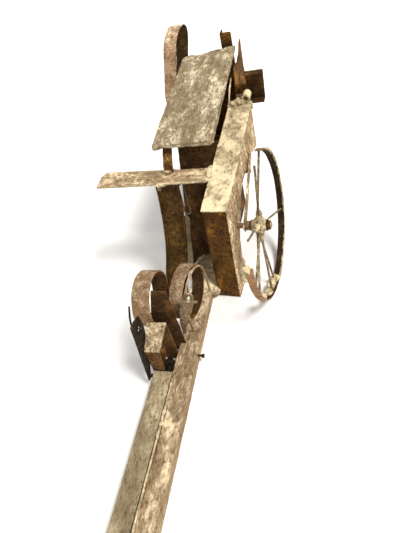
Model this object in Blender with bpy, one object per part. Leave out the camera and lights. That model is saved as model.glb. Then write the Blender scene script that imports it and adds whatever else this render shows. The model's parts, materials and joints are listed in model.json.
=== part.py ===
"""Hand-turned spit roaster: a ground beam, a fire box with a hinged lid, a tall drive
casing, a spoked wheel on a leaning stub axle, and the strap hoops that carry the spit.

Metres, +Z up. X runs across the roaster, Y along the ground beam towards the fire box,
and the origin is on the ground under the beam's far end.
"""
import math

import bmesh
import bpy
from mathutils import Matrix, Vector

# ---------------------------------------------------------------- driving dimensions
GAP = 0.0005                 # clearance between pieces that touch
SHEET = 0.003                # sheet iron
BEAM_START = -0.930          # near end of both rails
RAIL_HEIGHT = 0.040
RAIL_LEFT_END = -0.385
RAIL_RIGHT_END = 0.1035
RAIL_JOINT = -0.018          # x of the seam between the two rails
RAIL_RIGHT_SIDE = 0.043
RAIL_LEFT_SIDE = -0.0775

CASING_PLACE = (0.103, -0.020, 0.0)
CASING_TURN = math.radians(-5.1)
CASING_HALF = 0.0395         # half of its width
CASING_LENGTH = 0.437
CASING_FRONT_TOP = 0.357
ROOF_SLOPE = 0.26

BAR_TOP = 0.385
BAR_THICK = 0.005

BOX_LEFT = -0.0585
BOX_FRONT = 0.2585
BOX_REAR = 0.650
BOX_RIGHT = 0.127
BOX_FLOOR = 0.260

LID_CORNER = Vector((-0.126, 0.1975, 0.462))
LID_ACROSS = Vector((0.979, -0.163, 0.125)).normalized()
LID_ALONG = Vector((0.039, 0.983, 0.181)).normalized()
LID_WIDTH = 0.221
LID_LENGTH = 0.499
LID_THICK = 0.004
HINGE_DROP = 0.0105          # the hinge line lies this far under the lid's middle plane
HINGE_INSET = 0.010          # and this far in from its rear edge

WHEEL_CENTRE = Vector((0.221, 0.0444, 0.2388))   # middle of the hub
WHEEL_TOE = math.radians(-4.7)
WHEEL_CAMBER = math.radians(3.6)
WHEEL_RADIUS = 0.238
RIM_WIDTH = 0.023
RIM_THICK = 0.005
RIM_OFFSET = 0.021           # the spokes are dished: the rim lies this far outside the hub
RIM_FROM = math.radians(-190.0)      # the rim is broken: this much of it is left
RIM_TO = math.radians(70.0)
SPOKES = (                           # angle in degrees, share of the length that is left
    (67.0, 1.0), (88.0, 0.93), (152.0, 0.85), (-26.0, 1.0), (-98.0, 1.0), (-114.0, 1.0),
    (-150.0, 1.0), (-168.0, 1.0),
)
HUB_RADIUS = 0.024
AXLE_RADIUS = 0.009

# ---------------------------------------------------------------- scene and materials


def clear_scene():
    for item in list(bpy.data.objects):
        bpy.data.objects.remove(item)


def material(name, colour, roughness, metallic):
    made = bpy.data.materials.new(name)
    made.use_nodes = True
    shader = made.node_tree.nodes["Principled BSDF"]
    shader.inputs["Base Color"].default_value = (*colour, 1.0)
    shader.inputs["Roughness"].default_value = roughness
    shader.inputs["Metallic"].default_value = metallic
    made.diffuse_color = (*colour, 1.0)
    return made


clear_scene()
CRUST = material("crusted_iron", (0.52, 0.44, 0.31), 0.9, 0.1)
BARE = material("worn_grey_iron", (0.40, 0.36, 0.29), 0.7, 0.4)
DARK = material("dark_rusted_iron", (0.10, 0.06, 0.04), 0.85, 0.3)
RUST = material("orange_rust", (0.38, 0.19, 0.07), 0.9, 0.1)
BLACK = material("blackened_iron", (0.03, 0.025, 0.02), 0.6, 0.5)
PALE = material("oxidised_screw", (0.60, 0.64, 0.52), 0.7, 0.3)

# ---------------------------------------------------------------- shape helpers


def add_object(name, mesh_builder, finish, place=(0, 0, 0), turn=None, parent=None):
    """Makes one named object from a bmesh, flat shaded where edges are sharp."""
    bmesh.ops.remove_doubles(mesh_builder, verts=mesh_builder.verts, dist=1e-6)
    bmesh.ops.recalc_face_normals(mesh_builder, faces=mesh_builder.faces)
    mesh = bpy.data.meshes.new(name)
    mesh_builder.to_mesh(mesh)
    mesh_builder.free()
    mesh.shade_smooth()
    mesh.set_sharp_from_angle(angle=math.radians(35.0))
    mesh.materials.append(finish)
    item = bpy.data.objects.new(name, mesh)
    bpy.context.collection.objects.link(item)
    item.location = place
    if turn is not None:
        item.rotation_euler = turn
    item.parent = parent
    return item


def add_prism(builder, outline, start, vector):
    """Extrudes a closed outline, a list of points, by a vector."""
    base = [builder.verts.new(Vector(point) + Vector(start)) for point in outline]
    top = [builder.verts.new(vertex.co + Vector(vector)) for vertex in base]
    builder.faces.new(base)
    builder.faces.new(list(reversed(top)))
    for index, vertex in enumerate(base):
        other = (index + 1) % len(base)
        builder.faces.new((vertex, top[index], top[other], base[other]))


def add_box(builder, low, high):
    outline = [(low[0], low[1], low[2]), (high[0], low[1], low[2]),
               (high[0], high[1], low[2]), (low[0], high[1], low[2])]
    add_prism(builder, outline, (0, 0, 0), (0, 0, high[2] - low[2]))


def box(name, low, high, finish, **keys):
    builder = bmesh.new()
    add_box(builder, low, high)
    return add_object(name, builder, finish, **keys)


def side_plate(name, outline, x_low, thickness, finish, **keys):
    """A plate in a plane of constant x; outline gives (y, z) points."""
    builder = bmesh.new()
    points = [(x_low, y, z) for y, z in outline]
    add_prism(builder, points, (0, 0, 0), (thickness, 0, 0))
    return add_object(name, builder, finish, **keys)


def flat_plate(name, outline, z_low, thickness, finish, **keys):
    """A level plate; outline gives (x, y) points."""
    builder = bmesh.new()
    points = [(x, y, z_low) for x, y in outline]
    add_prism(builder, points, (0, 0, 0), (0, 0, thickness))
    return add_object(name, builder, finish, **keys)


def tube_section(name, outer, inner, y_low, y_high, finish, **keys):
    """A hollow bar along Y from two (x, z) outlines with as many points each."""
    builder = bmesh.new()
    rings = []
    for y in (y_low, y_high):
        rings.append([builder.verts.new((x, y, z)) for x, z in outer])
        rings.append([builder.verts.new((x, y, z)) for x, z in inner])
    count = len(outer)
    for index in range(count):
        other = (index + 1) % count
        for first, second in ((0, 2), (1, 3), (0, 1), (2, 3)):
            builder.faces.new((rings[first][index], rings[first][other],
                               rings[second][other], rings[second][index]))
    return add_object(name, builder, finish, **keys)


def ribbon_mesh(path, section):
    """Sweeps a closed section (x, offset) along a path of (y, z) points with mitred corners."""
    builder = bmesh.new()
    loops = []
    last = len(path) - 1
    for index, (y, z) in enumerate(path):
        before = Vector(path[max(index - 1, 0)])
        after = Vector(path[min(index + 1, last)])
        here = Vector((y, z))
        into = (here - before).normalized() if index > 0 else (after - here).normalized()
        out = (after - here).normalized() if index < last else into
        normal_in = Vector((-into.y, into.x))
        normal_out = Vector((-out.y, out.x))
        mitre = (normal_in + normal_out).normalized()
        mitre /= max(mitre.dot(normal_in), 0.3)
        loops.append([builder.verts.new((x, y + mitre.x * offset, z + mitre.y * offset))
                      for x, offset in section])
    for near, far in zip(loops, loops[1:]):
        for index in range(len(section)):
            other = (index + 1) % len(section)
            builder.faces.new((near[index], near[other], far[other], far[index]))
    builder.faces.new(loops[0])
    builder.faces.new(list(reversed(loops[-1])))
    return builder


def strap_section(x_low, x_high, thickness):
    half = thickness / 2
    return [(x_low, -half), (x_high, -half), (x_high, half), (x_low, half)]


def arc(centre, radius, start, end, steps):
    """Points on an arc in the (y, z) plane, angles in degrees from +Y towards +Z."""
    points = []
    for index in range(steps + 1):
        angle = math.radians(start + (end - start) * index / steps)
        points.append((centre[0] + radius * math.cos(angle),
                       centre[1] + radius * math.sin(angle)))
    return points


def turned(profile, steps, start=0.0, end=None):
    """Turns a closed (radius, x) profile about the X axis, all round or part of the way."""
    builder = bmesh.new()
    full = end is None
    sweep = 2 * math.pi if full else end - start
    count = steps if full else steps + 1
    loops = []
    for index in range(count):
        angle = start + sweep * index / steps
        loops.append([builder.verts.new((x, radius * math.cos(angle), radius * math.sin(angle)))
                      for radius, x in profile])
    pairs = list(zip(loops, loops[1:]))
    if full:
        pairs.append((loops[-1], loops[0]))
    for near, far in pairs:
        for index in range(len(profile)):
            other = (index + 1) % len(profile)
            builder.faces.new((near[index], near[other], far[other], far[index]))
    if not full:
        builder.faces.new(loops[0])
        builder.faces.new(list(reversed(loops[-1])))
    return builder


def turned_solid(profile, steps):
    """Turns an open (radius, x) profile about the X axis and closes both ends flat."""
    builder = bmesh.new()
    loops = []
    for radius, x in profile:
        loop = []
        for index in range(steps):
            angle = 2 * math.pi * index / steps
            loop.append(builder.verts.new((x, radius * math.cos(angle),
                                           radius * math.sin(angle))))
        loops.append(loop)
    for near, far in zip(loops, loops[1:]):
        for index in range(steps):
            other = (index + 1) % steps
            builder.faces.new((near[index], near[other], far[other], far[index]))
    builder.faces.new(loops[0])
    builder.faces.new(list(reversed(loops[-1])))
    return builder


def ring(name, inner, outer, width, steps, finish, **keys):
    half = width / 2
    profile = [(inner, -half), (outer, -half), (outer, half), (inner, half)]
    return add_object(name, turned(profile, steps), finish, **keys)


def frame_between(direction):
    """A rotation that turns +X onto a direction."""
    return Vector((1, 0, 0)).rotation_difference(Vector(direction).normalized()).to_matrix()


def add_rod(builder, start, end, radius, sides=10):
    """A solid round bar between two points."""
    start = Vector(start)
    end = Vector(end)
    basis = frame_between(end - start)
    length = (end - start).length
    loops = []
    for distance in (0.0, length):
        loop = []
        for index in range(sides):
            angle = 2 * math.pi * index / sides
            local = Vector((distance, radius * math.cos(angle), radius * math.sin(angle)))
            loop.append(builder.verts.new(start + basis @ local))
        loops.append(loop)
    for index in range(sides):
        other = (index + 1) % sides
        builder.faces.new((loops[0][index], loops[0][other], loops[1][other], loops[1][index]))
    builder.faces.new(loops[0])
    builder.faces.new(list(reversed(loops[1])))


def rod(name, start, end, radius, finish, sides=10, **keys):
    builder = bmesh.new()
    add_rod(builder, start, end, radius, sides)
    return add_object(name, builder, finish, **keys)


def wire(name, path, radius, finish, closed=False, sides=8, **keys):
    """A bent round wire through a list of points."""
    builder = bmesh.new()
    points = [Vector(point) for point in path]
    count = len(points)
    loops = []
    side = Vector((0, 1, 0)) if closed else None
    for index, point in enumerate(points):
        before = points[index - 1] if closed or index > 0 else point
        after = points[(index + 1) % count] if closed or index < count - 1 else point
        tangent = (after - before).normalized()
        if side is None:
            side = tangent.orthogonal().normalized()
        side = (side - tangent * side.dot(tangent)).normalized()
        other_side = tangent.cross(side)
        loop = []
        for step in range(sides):
            angle = 2 * math.pi * step / sides
            offset = side * math.cos(angle) + other_side * math.sin(angle)
            loop.append(builder.verts.new(point + offset * radius))
        loops.append(loop)
    pairs = list(zip(loops, loops[1:]))
    if closed:
        pairs.append((loops[-1], loops[0]))
    for near, far in pairs:
        for step in range(sides):
            other = (step + 1) % sides
            builder.faces.new((near[step], near[other], far[other], far[step]))
    if not closed:
        builder.faces.new(loops[0])
        builder.faces.new(list(reversed(loops[-1])))
    return add_object(name, builder, finish, **keys)


def combine(item, tool_builder, name, operation, parent=None):
    """Changes an object by a second shape, with an exact boolean."""
    mesh = bpy.data.meshes.new(name)
    bmesh.ops.recalc_face_normals(tool_builder, faces=tool_builder.faces)
    tool_builder.to_mesh(mesh)
    tool_builder.free()
    tool = bpy.data.objects.new(name, mesh)
    bpy.context.collection.objects.link(tool)
    tool.hide_render = True
    tool.display_type = "WIRE"
    tool.parent = parent
    change = item.modifiers.new(name, "BOOLEAN")
    change.operation = operation
    change.solver = "EXACT"
    change.object = tool


def cut(item, tool_builder, name, parent=None):
    combine(item, tool_builder, name, "DIFFERENCE", parent)


def join_shape(item, tool_builder, name, parent=None):
    combine(item, tool_builder, name, "UNION", parent)


def rod_cutter(start, end, radius, sides=16):
    builder = bmesh.new()
    add_rod(builder, start, end, radius, sides)
    return builder


def empty(name, place, turn=None):
    item = bpy.data.objects.new(name, None)
    bpy.context.collection.objects.link(item)
    item.location = place
    if turn is not None:
        item.rotation_euler = turn
    return item


# ---------------------------------------------------------------- ground beam


def make_beam():
    wall = 0.004
    groove_from = -0.002
    groove_to = 0.006
    groove_depth = 0.003
    top = RAIL_HEIGHT
    right = RAIL_RIGHT_SIDE
    left = RAIL_JOINT
    outer = [(left, 0), (right, 0), (right, top), (groove_to, top),
             (groove_to - 0.002, top - groove_depth), (groove_from + 0.002, top - groove_depth),
             (groove_from, top), (left, top)]
    inner = [(left + wall, wall), (right - wall, wall), (right - wall, top - wall),
             (groove_to + 0.002, top - wall), (groove_to, top - wall - groove_depth),
             (groove_from, top - wall - groove_depth), (groove_from - 0.002, top - wall),
             (left + wall, top - wall)]
    tube_section("rail_right", outer, inner, BEAM_START, RAIL_RIGHT_END, CRUST)

    # the left rail is a channel, open underneath
    builder = bmesh.new()
    left = RAIL_LEFT_SIDE
    right = RAIL_JOINT - GAP
    outline = [(left, 0), (left, top), (right, top), (right, 0), (right - wall, 0),
               (right - wall, top - wall), (left + wall, top - wall), (left + wall, 0)]
    points = [(x, BEAM_START, z) for x, z in outline]
    add_prism(builder, points, (0, 0, 0), (0, RAIL_LEFT_END - BEAM_START, 0))
    add_object("rail_left", builder, BARE)

    peg_y = -0.315
    peg_z = 0.026
    profile = [(0.004, 0), (0.004, 0.012), (0.0065, 0.013), (0.0065, 0.020)]
    add_object("rail_peg", turned_solid(profile, 10), DARK,
               place=(RAIL_RIGHT_SIDE + GAP, peg_y, peg_z))


# ---------------------------------------------------------------- tent bracket and roller


def make_tent_bracket():
    front = -0.3775
    back = -0.3125
    path = [(front, 0.004), (front, 0.130), (back, 0.182), (back, 0.003)]
    sides = [(-0.0850, -0.0500), (-0.0840, -0.0355), (-0.0811, -0.0190), (-0.0811, -0.0190)]
    sheet = ribbon_mesh(path, strap_section(0.0, 1.0, SHEET))
    sheet.verts.ensure_lookup_table()
    for number, vertex in enumerate(sheet.verts):
        low, high = sides[number // 4]
        vertex.co.x = low + (high - low) * vertex.co.x
    add_object("tent_bracket", sheet, BARE)

    # a side lug, the pin that it holds and the roller under the bracket
    lug = [(-0.374, 0.004), (-0.374, 0.095), (-0.338, 0.128), (-0.322, 0.110), (-0.322, 0.004)]
    roller_y = -0.345
    roller_z = 0.088
    plate = side_plate("roller_lug", lug, -0.0665, SHEET, RUST)
    cut(plate, rod_cutter((-0.08, roller_y, roller_z), (-0.05, roller_y, roller_z), 0.0052),
        "lug_bore")
    rod("roller_pin", (-0.0715, roller_y, roller_z), (-0.0385, roller_y, roller_z), 0.0045,
        RUST, sides=12)
    ring("roller", 0.0052, 0.0125, 0.017, 20, RUST, place=(-0.0520, roller_y, roller_z))
    ring("roller_washer", 0.0050, 0.0090, 0.0020, 16, RUST, place=(-0.0418, roller_y, roller_z))


# ---------------------------------------------------------------- eye plate and hook

EYE_Y = -0.346
EYE_Z = 0.200


def make_eye_plate():
    outline = [(-0.413, 0.030), (-0.402, 0.026), (-0.345, 0.105), (-0.320, 0.185),
               (-0.323, 0.228), (-0.352, 0.240), (-0.376, 0.243)]
    plate = side_plate("eye_plate", outline, -0.0925, 0.005, BLACK)
    cut(plate, rod_cutter((-0.11, EYE_Y, EYE_Z), (-0.07, EYE_Y, EYE_Z), 0.0085), "eye_bore")
    rod("eye_plate_spacer", (-0.0870, -0.3985, 0.034), (-0.0780, -0.3985, 0.034), 0.006, DARK)
    path = [(0.0125, 0, 0), (0.000, 0, 0), (-0.010, 0, 0.000), (-0.0135, -0.001, 0.006),
            (-0.0145, -0.003, 0.022), (-0.0140, 0.004, 0.042), (-0.0125, 0.014, 0.060),
            (-0.0120, 0.022, 0.072)]
    wire("hook", path, 0.0028, BLACK, place=(-0.090, EYE_Y, EYE_Z))


# ---------------------------------------------------------------- spit hoops on the beam


def make_beam_hoops():
    low = (-0.0480, -0.2785)
    high = (-0.0187, -0.2465)
    wall = 0.003
    builder = bmesh.new()
    loops = []
    for z in (0.0, 0.262):
        for inset in (0.0, wall):
            corners = [(low[0] + inset, low[1] + inset), (high[0] - inset, low[1] + inset),
                       (high[0] - inset, high[1] - inset), (low[0] + inset, high[1] - inset)]
            loops.append([builder.verts.new((x, y, z)) for x, y in corners])
    for index in range(4):
        other = (index + 1) % 4
        for first, second in ((0, 2), (1, 3), (0, 1), (2, 3)):
            builder.faces.new((loops[first][index], loops[first][other],
                               loops[second][other], loops[second][index]))
    post = add_object("guide_post", builder, DARK)
    # the face plate in front of the post spreads out beside the left hoop
    face = bmesh.new()
    outline = [(-0.0460, 0.286), (-0.0010, 0.286), (-0.0010, 0.0410), (-0.0190, 0.0410),
               (-0.0470, 0.0600), (-0.0470, 0.1400), (-0.0870, 0.1400)]
    add_prism(face, [(x, low[1] - 0.0015, z) for x, z in outline], (0, 0, 0), (0, 0.003, 0))
    join_shape(post, face, "post_face")

    ring("left_spit_hoop", 0.0805, 0.0850, 0.055, 56, CRUST, place=(-0.087, -0.226, 0.193))
    box("hoop_cleat", (-0.104, -0.268, 0.1262), (-0.0485, -0.250, 0.1322), DARK)

    toe = math.radians(-8.0)
    hoop_x = -0.004
    hoop_y = -0.145
    ring("right_spit_hoop", 0.0855, 0.0900, 0.042, 56, CRUST, place=(hoop_x, hoop_y, 0.1312),
         turn=(0, 0, toe))

    # the inverted-U stay beside the right hoop stands on the rail
    radius = 0.0860
    foot = RAIL_HEIGHT + GAP
    path = [(radius, foot)] + arc((0, 0.132), radius, 0, 180, 20) + [(-radius, foot)]
    add_object("hoop_stay", ribbon_mesh(path, strap_section(0.0285, 0.0355, 0.004)), CRUST,
               place=(hoop_x, hoop_y, 0), turn=(0, 0, toe))


def make_clamp():
    """The clamp tongue in front of the right hoop and its T-handled screw."""
    face_y = -0.2405
    screw_x = 0.0430
    screw_z = 0.2220
    outline = [(-0.0170, RAIL_HEIGHT + GAP), (-0.0090, RAIL_HEIGHT + GAP), (0.0110, 0.1000),
               (0.0380, 0.1560), (0.0530, 0.2050), (0.0560, 0.2250), (0.0500, 0.2350),
               (0.0350, 0.2350), (0.0270, 0.2250), (0.0150, 0.2000), (-0.0030, 0.1560),
               (-0.0140, 0.1000)]
    builder = bmesh.new()
    add_prism(builder, [(x, 0, z) for x, z in outline], (0, face_y - 0.0035, 0), (0, 0.0035, 0))
    tongue = add_object("clamp_tongue", builder, CRUST)
    cut(tongue, rod_cutter((screw_x, -0.26, screw_z), (screw_x, -0.22, screw_z), 0.0052),
        "tongue_bore")
    builder = bmesh.new()
    nut_face = face_y + GAP
    add_rod(builder, (screw_x, nut_face, screw_z), (screw_x, nut_face + 0.006, screw_z), 0.0095, 6)
    nut = add_object("clamp_nut", builder, DARK)
    cut(nut, rod_cutter((screw_x, -0.26, screw_z), (screw_x, -0.20, screw_z), 0.0050), "nut_bore")

    place = (screw_x, face_y, screw_z)
    rod("clamp_screw", (0, -0.0160, 0), (0, 0.026, 0), 0.0044, PALE, sides=12, place=place)
    rod("clamp_handle", (-0.029, -0.0212, 0.001), (0.029, -0.0212, -0.001), 0.0044, PALE,
        place=place)


# ---------------------------------------------------------------- cross bar, leg, stay, link

LINK_X = -0.032
LINK_Y = 0.116
LINK_Z = 0.366


def make_cross_bar():
    outline = [(-0.320, 0.093), (0.0720, 0.093), (0.0785, 0.168), (-0.060, 0.171),
               (-0.302, 0.183), (-0.316, 0.177), (-0.325, 0.158)]
    flat_plate("cross_bar", outline, BAR_TOP - BAR_THICK, BAR_THICK, CRUST)

    under = BAR_TOP - BAR_THICK - GAP
    path = [(0.100, under - 0.0025), (0.093, 0.330), (0.077, 0.275), (0.058, 0.228), (0.034, 0.184),
            (-0.003, 0.140), (-0.044, 0.103), (-0.078, 0.062), (-0.094, 0.020), (-0.097, 0.001)]
    left = -0.106
    right = -0.031
    web = 0.003
    flange = 0.015
    section = [(left, 0), (left, -flange), (left + web, -flange), (left + web, -web),
               (right - web, -web), (right - web, -flange), (right, -flange), (right, 0)]
    add_object("bowed_leg", ribbon_mesh(path, section), RUST)

    # the hanging stay between the link and the ground
    builder = bmesh.new()
    foot_x = -0.071
    head_x = -0.039
    half = 0.0125
    outline = [(foot_x - half, 0.086, 0.001), (foot_x + half, 0.086, 0.001),
               (head_x + half, 0.098, 0.232), (head_x + half * 0.4, 0.099, 0.244),
               (head_x - half * 0.4, 0.099, 0.244), (head_x - half, 0.098, 0.232)]
    points = [Vector(point) for point in outline]
    base = [builder.verts.new(point) for point in points]
    back = [builder.verts.new(point + Vector((0, 0.004, 0))) for point in points]
    faces = [(0, 1, 2, 5), (5, 2, 3, 4)]
    for face in faces:
        builder.faces.new([base[index] for index in face])
        builder.faces.new([back[index] for index in reversed(face)])
    for index in range(6):
        other = (index + 1) % 6
        builder.faces.new((base[index], back[index], back[other], base[other]))
    add_object("stay_strap", builder, BARE)

    # staple under the bar and the long link that hangs in it
    half_span = 0.012
    staple = [(LINK_X, LINK_Y - half_span, under), (LINK_X, LINK_Y - half_span, LINK_Z + 0.004),
              (LINK_X, LINK_Y - half_span + 0.004, LINK_Z),
              (LINK_X, LINK_Y + half_span - 0.004, LINK_Z),
              (LINK_X, LINK_Y + half_span, LINK_Z + 0.004), (LINK_X, LINK_Y + half_span, under)]
    wire("link_staple", staple, 0.003, DARK)
    half_width = 0.0100
    wire_radius = 0.003
    top = 0.0068 - half_width
    bottom = -0.126 + half_width
    path = []
    for index in range(9):
        angle = math.pi * index / 8
        path.append((half_width * math.cos(angle), 0, top + half_width * math.sin(angle)))
    for index in range(9):
        angle = math.pi + math.pi * index / 8
        path.append((half_width * math.cos(angle), 0, bottom + half_width * math.sin(angle)))
    wire("chain_link", path, wire_radius, RUST, closed=True, place=(LINK_X, LINK_Y, LINK_Z))


# ---------------------------------------------------------------- drive casing


def roof_height(y_local):
    return CASING_FRONT_TOP + ROOF_SLOPE * y_local


def make_casing(parent):
    half = CASING_HALF
    length = CASING_LENGTH
    under_front = roof_height(0) - 0.0045
    under_rear = roof_height(length) - 0.0045
    roof = [(-0.004, roof_height(-0.004)), (length, roof_height(length)),
            (length, roof_height(length) - 0.004), (-0.004, roof_height(-0.004) - 0.004)]
    side_plate("casing_roof", roof, -half - 0.001, 2 * half + 0.002, CRUST, parent=parent)
    left = [(-0.032, 0.001), (0, under_front), (length, under_rear), (length, 0.050), (0.360, 0.030),
            (0.120, 0.001)]
    side_plate("casing_left_wall", left, -half, SHEET, DARK, parent=parent)
    right = [(-0.032, 0.001), (0, under_front), (length, under_rear), (length, 0.312), (0.400, 0.314),
             (0.310, 0.338), (0.270, 0.321), (0.220, 0.315), (0.168, 0.296), (0.136, 0.250),
             (0.100, 0.214), (0.078, 0.180), (0.060, 0.104), (0.078, 0.070), (0.072, 0.040),
             (0.040, 0.001)]
    plate = side_plate("casing_right_wall", right, half - SHEET, SHEET, CRUST, parent=parent)

    inner = half - SHEET - GAP
    under = roof_height(0) - 0.006
    front = [(-0.0305, 0.001), (0.001, under), (0.004, under), (-0.0275, 0.001)]
    side_plate("casing_front_baffle", front, -inner, 2 * inner, RUST, parent=parent)
    return plate


# ---------------------------------------------------------------- fire box and lid


def lid_under(x, y):
    """Height of the lid's underside over a point."""
    normal = LID_ACROSS.cross(LID_ALONG).normalized()
    corner = LID_CORNER - normal * LID_THICK
    return corner.z - ((x - corner.x) * normal.x + (y - corner.y) * normal.y) / normal.z


def make_fire_box():
    left = BOX_LEFT
    casing_side = 0.0868
    # the front apron slopes down and forward to the ground beside the casing
    foot_y = 0.105
    builder = bmesh.new()
    outline = [(-0.072, foot_y, 0.001), (0.0700, foot_y, 0.001),
               (casing_side - 0.001, BOX_FRONT, 0.428), (left, BOX_FRONT, 0.434)]
    add_prism(builder, outline, (0, 0, 0), (0, SHEET, 0))
    add_object("fire_box_front", builder, DARK)

    y_from = BOX_FRONT + SHEET + GAP
    y_to = BOX_REAR - GAP
    clear = 0.012
    outline = [(y_from, BOX_FLOOR - 0.01), (y_from, 0.434),
               (y_to, lid_under(left, y_to) - clear - 0.02), (y_to, BOX_FLOOR - 0.01)]
    side_plate("fire_box_left", outline, left, SHEET, DARK)

    outline = [(0.440, 0.345), (0.440, 0.430), (0.492, 0.440), (0.515, 0.500), (0.522, 0.544),
               (0.550, 0.556), (0.575, 0.552), (0.612, 0.572), (0.630, 0.598), (0.650, 0.603),
               (0.656, 0.345)]
    wall = side_plate("fire_box_right", outline, 0, SHEET, RUST)
    for vertex in wall.data.vertices:
        vertex.co.x += BOX_RIGHT + 0.100 * (vertex.co.y - BOX_REAR)

    rear_top = 0.470
    box("fire_box_rear", (left, BOX_REAR, BOX_FLOOR - 0.01),
        (BOX_RIGHT - GAP, BOX_REAR + SHEET, rear_top), DARK)
    inner_left = left + SHEET + GAP
    floor = [(inner_left, y_from), (casing_side, y_from), (0.1000, 0.430), (0.1050, 0.440),
             (BOX_RIGHT - 0.001, y_to), (inner_left, y_to)]
    flat_plate("fire_box_floor", floor, BOX_FLOOR, SHEET, DARK)

    # the grate is a comb: one spine along the left wall and a tooth every 52 mm
    grate_z = BOX_FLOOR + 0.045
    grate_left = inner_left + 0.001
    spine = 0.012
    tooth = 0.010
    outline = [(grate_left, 0.290)]
    for index in range(7):
        y = 0.290 + 0.052 * index
        right = 0.080 + 0.0893 * (y - BOX_FRONT) * 0.8
        if index:
            outline.append((grate_left + spine, y))
        outline += [(right, y), (right, y + tooth), (grate_left + spine, y + tooth)]
    outline[-1] = (grate_left, y + tooth)
    flat_plate("fire_grate", outline, grate_z, 0.006, DARK)
    box("grate_ledge", (inner_left, 0.285, grate_z - 0.0125),
        (inner_left + 0.012, 0.630, grate_z - GAP), DARK)
    box("hinge_rail", (left, BOX_REAR + SHEET + GAP, 0.4400), (BOX_RIGHT - GAP, 0.6990, 0.4445),
        DARK)


def lid_frame():
    """The hinge line's middle and a rotation whose X runs along the hinge."""
    normal = LID_ACROSS.cross(LID_ALONG).normalized()
    along = normal.cross(LID_ACROSS).normalized()
    middle = LID_CORNER + LID_ALONG * LID_LENGTH + LID_ACROSS * (LID_WIDTH / 2)
    middle -= normal * HINGE_DROP + along * HINGE_INSET
    basis = Matrix((LID_ACROSS, along, normal)).transposed()
    return middle, basis


def make_lid():
    middle, basis = lid_frame()
    turn = basis.to_euler()
    half = LID_WIDTH / 2
    shift = LID_ALONG.dot(LID_ACROSS) * LID_LENGTH
    lip = 0.012
    builder = bmesh.new()
    # plate with a curled lip along the near edge, flat up to the hinge
    profile = [(0, -0.002), (0, 0.002), (-LID_LENGTH + 0.006, 0.002),
               (-LID_LENGTH, -0.002), (-LID_LENGTH - 0.001, -lip), (-LID_LENGTH + 0.003, -lip),
               (-LID_LENGTH + 0.005, -0.003), (-LID_LENGTH + 0.009, -0.002)]
    near = []
    far = []
    for y, z in profile:
        slide = shift * y / LID_LENGTH
        near.append(builder.verts.new((-half + slide, y + HINGE_INSET, z + HINGE_DROP)))
        far.append(builder.verts.new((half + slide, y + HINGE_INSET, z + HINGE_DROP)))
    builder.faces.new(near)
    builder.faces.new(list(reversed(far)))
    for index in range(len(profile)):
        other = (index + 1) % len(profile)
        builder.faces.new((near[index], far[index], far[other], near[other]))
    pivot = empty("lid_pivot", middle, turn)
    add_object("lid_plate", builder, BARE, parent=pivot)

    pin_radius = 0.004
    rod("lid_hinge_pin", (-half + 0.010, 0, 0), (half - 0.010, 0, 0), pin_radius, DARK, sides=12,
        parent=pivot)
    half_knuckle = 0.012
    outer = 0.008
    rail_top = 0.4445 + GAP
    for label, side in (("left", -1), ("right", 1)):
        bore = 0.0048
        profile = [(bore, -half_knuckle), (outer, -half_knuckle), (outer, half_knuckle),
                   (bore, half_knuckle)]
        x = 0.060 * side
        leaf = bmesh.new()
        add_box(leaf, (x - half_knuckle, -0.042, 0.0056), (x + half_knuckle, 0.0040, 0.0079))
        lid_side = add_object("lid_hinge_" + label, turned(profile, 16), DARK, place=(x, 0, 0),
                              parent=pivot)
        join_shape(lid_side, leaf, "lid_leaf_" + label, pivot)

        x = 0.030 * side
        centre = middle + basis @ Vector((x, 0, 0))
        post = bmesh.new()
        add_box(post, (centre.x - 0.010, centre.y - 0.002, rail_top),
                (centre.x + 0.010, centre.y + 0.002, centre.z - 0.0060))
        frame_side = add_object("frame_hinge_" + label, turned(profile, 16), DARK,
                                place=(x, 0, 0), parent=pivot)
        join_shape(frame_side, post, "frame_post_" + label)

    strap = [(0.1560, BAR_TOP + GAP), (0.1620, 0.4050), (0.1900, 0.4400), (0.2120, 0.4660)]
    add_object("lid_support", ribbon_mesh(strap, strap_section(-0.091, -0.059, SHEET)), RUST)


# ---------------------------------------------------------------- rear pieces


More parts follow.
